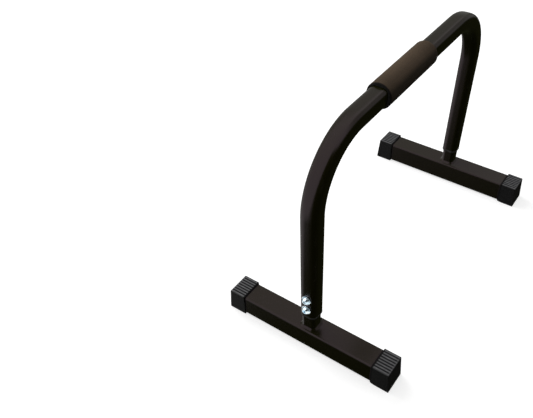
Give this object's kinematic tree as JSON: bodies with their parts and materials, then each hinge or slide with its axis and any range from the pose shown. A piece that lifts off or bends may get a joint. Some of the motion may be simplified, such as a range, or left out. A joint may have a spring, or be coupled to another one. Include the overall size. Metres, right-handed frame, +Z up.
{
  "type": "parallette bar",
  "caption": "Low freestanding parallette: a bent box-section handle with a foam grip, screwed to capped floor feet, for dips, press-ups and handstands.",
  "frame": {"origin": "on the floor, under the middle of the bar", "axes": "+Z up, +X along the bar from the front foot to the back foot, +Y along the feet to the bar's left"},
  "size_m": [0.5752, 0.3178, 0.4033],
  "materials": {
    "black_coat": "gloss black powder coat",
    "grip_foam": "matt closed-cell foam",
    "cap_rubber": "matt dark grey moulding",
    "bush_plastic": "matt black moulding",
    "zinc_plate": "bright zinc plate"
  },
  "bodies": {
    "root": {"handle_tube": "black_coat", "grip_sleeve": "grip_foam", "front_foot_tube": "black_coat", "back_foot_tube": "black_coat", "front_spigot": "black_coat", "back_spigot": "black_coat", "front_weld_bead": "black_coat", "back_weld_bead": "black_coat", "front_leg_bush": "bush_plastic", "back_leg_bush": "bush_plastic", "front_left_foot_cap": "cap_rubber", "front_right_foot_cap": "cap_rubber", "back_left_foot_cap": "cap_rubber", "back_right_foot_cap": "cap_rubber", "front_lower_screw": "zinc_plate", "front_upper_screw": "zinc_plate", "back_lower_screw": "zinc_plate", "back_upper_screw": "zinc_plate", "front_lower_washer": "zinc_plate", "front_upper_washer": "zinc_plate", "back_lower_washer": "zinc_plate", "back_upper_washer": "zinc_plate", "front_lower_nut": "zinc_plate", "front_upper_nut": "zinc_plate", "back_lower_nut": "zinc_plate", "back_upper_nut": "zinc_plate"}
  },
  "joints": []
}
